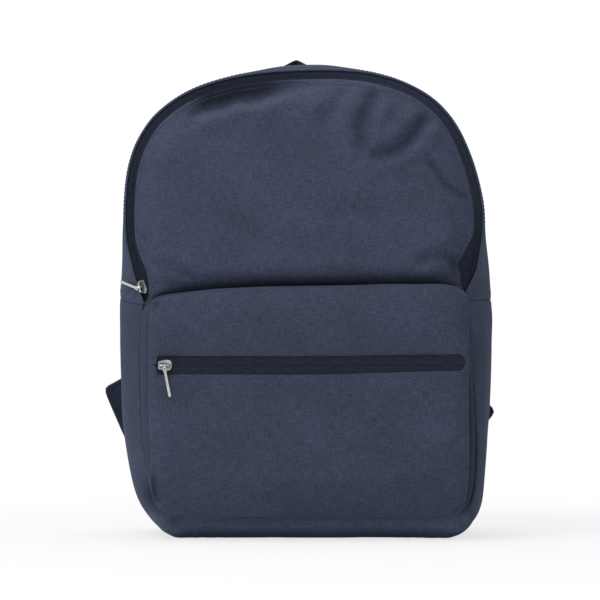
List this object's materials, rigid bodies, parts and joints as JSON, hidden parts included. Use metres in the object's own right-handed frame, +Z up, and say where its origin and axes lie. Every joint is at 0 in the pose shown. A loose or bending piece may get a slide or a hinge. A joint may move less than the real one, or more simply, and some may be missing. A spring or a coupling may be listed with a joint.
{
  "type": "school backpack",
  "caption": "Arch-topped school backpack with a zipped main compartment that folds open at the front, a zipped front pocket, a haul loop and padded adjustable shoulder straps.",
  "frame": {"origin": "on the ground under the middle of the base, where the bag stands", "axes": "+Z up along the height of the bag; -Y towards the front, where the pocket is; +X to the right seen from the front; the straps are on +Y"},
  "size_m": [0.3385, 0.1853, 0.4142],
  "materials": {
    "heather": "heathered plain weave, matt",
    "lining": "plain dark lining",
    "tape": "woven zip tape",
    "coil": "nylon coil",
    "metal": "nickel plated, lightly worn",
    "webbing": "ribbed webbing",
    "plastic": "moulded, fine grain",
    "foam": "closed-cell foam sheet",
    "mesh": "spacer mesh",
    "board": "stiffener sheet"
  },
  "bodies": {
    "shell": {"top_gusset": "heather", "side_gusset_left": "heather", "side_gusset_right": "heather", "base_panel": "heather", "back_panel": "heather", "back_foam": "foam", "back_lining": "lining", "body_lining": "lining", "back_seam_binding": "tape", "base_board": "board", "front_wall": "heather", "inner_sleeve": "lining", "inner_sleeve_binding": "tape", "main_zip_tape_rear": "tape", "main_zip_coil_rear": "coil", "main_zip_end_left": "tape", "main_zip_end_right": "tape", "pocket_gusset": "heather", "pocket_upper_panel": "heather", "pocket_lower_panel": "heather", "pocket_zip_tape_upper": "tape", "pocket_zip_tape_lower": "tape", "pocket_zip_coil_upper": "coil", "pocket_zip_coil_lower": "coil", "pocket_zip_stop_left": "metal", "pocket_zip_stop_right": "metal", "pocket_lining": "lining", "strap_yoke": "heather", "strap_anchor_left": "heather", "strap_anchor_right": "heather", "webbing_run_left": "webbing", "webbing_run_right": "webbing"},
    "flap": {"front_flap": "heather", "flap_lining": "lining", "main_zip_tape_front": "tape", "main_zip_coil_front": "coil"},
    "main_slider": {"main_slider": "metal"},
    "main_ring": {"main_pull_ring": "metal"},
    "main_pull": {"main_pull": "metal"},
    "pocket_slider": {"pocket_slider": "metal"},
    "pocket_ring": {"pocket_pull_ring": "metal"},
    "pocket_pull": {"pocket_pull": "metal"},
    "haul": {"haul_loop": "webbing"},
    "strap_left": {"strap_foam_left": "foam", "strap_face_left": "heather", "strap_mesh_left": "mesh", "strap_binding_left": "tape", "lock_tab_left": "webbing"},
    "lock_left": {"ladder_lock_left": "plastic"},
    "tail_left": {"webbing_tail_left": "webbing"},
    "strap_right": {"strap_foam_right": "foam", "strap_face_right": "heather", "strap_mesh_right": "mesh", "strap_binding_right": "tape", "lock_tab_right": "webbing"},
    "lock_right": {"ladder_lock_right": "plastic"},
    "tail_right": {"webbing_tail_right": "webbing"}
  },
  "joints": [
    {"name": "flap_open", "type": "hinge", "parent": "shell", "child": "flap", "pos_m": [0, -0.0564, 0.2221], "axis": [1, 0, 0], "range_deg": [0, 85]},
    {"name": "main_slide", "type": "slide", "parent": "shell", "child": "main_slider", "axis": [-0.2182, 0.0681, 0.9735], "range_m": [0, 0.024]},
    {"name": "main_ring_lift", "type": "hinge", "parent": "main_slider", "child": "main_ring", "pos_m": [-0.13916, -0.05778, 0.2121], "axis": [-0.2182, 0.0681, 0.9735], "range_deg": [0, 130]},
    {"name": "main_pull_swing", "type": "hinge", "parent": "main_ring", "child": "main_pull", "pos_m": [-0.14098, -0.05553, 0.21153], "axis": [-0.7569, -0.6415, -0.1248], "range_deg": [-20, 40]},
    {"name": "pocket_slide", "type": "slide", "parent": "shell", "child": "pocket_slider", "axis": [1, 0, 0], "range_m": [0, 0.24]},
    {"name": "pocket_ring_lift", "type": "hinge", "parent": "pocket_slider", "child": "pocket_ring", "pos_m": [-0.1168, -0.0835, 0.147], "axis": [-1, 0, 0], "range_deg": [0, 165]},
    {"name": "pocket_pull_swing", "type": "hinge", "parent": "pocket_ring", "child": "pocket_pull", "pos_m": [-0.1168, -0.0835, 0.14405], "axis": [0, -1, 0], "range_deg": [-45, 13]},
    {"name": "haul_lift", "type": "hinge", "parent": "shell", "child": "haul", "pos_m": [0, 0.0636, 0.389], "axis": [1, 0, 0], "range_deg": [-50, 60]},
    {"name": "strap_swing_left", "type": "hinge", "parent": "shell", "child": "strap_left", "pos_m": [-0.05, 0.064, 0.352], "axis": [1, 0, 0], "range_deg": [0, 14], "deforming": ["webbing_run_left"]},
    {"name": "lock_tilt_left", "type": "hinge", "parent": "strap_left", "child": "lock_left", "pos_m": [-0.134, 0.0772, 0.092], "axis": [1, 0, 0], "range_deg": [0, 22]},
    {"name": "tail_swing_left", "type": "hinge", "parent": "lock_left", "child": "tail_left", "pos_m": [-0.134, 0.0834, 0.072], "axis": [1, 0, 0], "range_deg": [0, 55]},
    {"name": "strap_swing_right", "type": "hinge", "parent": "shell", "child": "strap_right", "pos_m": [0.05, 0.064, 0.352], "axis": [1, 0, 0], "range_deg": [0, 14], "deforming": ["webbing_run_right"]},
    {"name": "lock_tilt_right", "type": "hinge", "parent": "strap_right", "child": "lock_right", "pos_m": [0.133, 0.0772, 0.082], "axis": [1, 0, 0], "range_deg": [0, 22]},
    {"name": "tail_swing_right", "type": "hinge", "parent": "lock_right", "child": "tail_right", "pos_m": [0.133, 0.0834, 0.062], "axis": [1, 0, 0], "range_deg": [0, 55]}
  ]
}
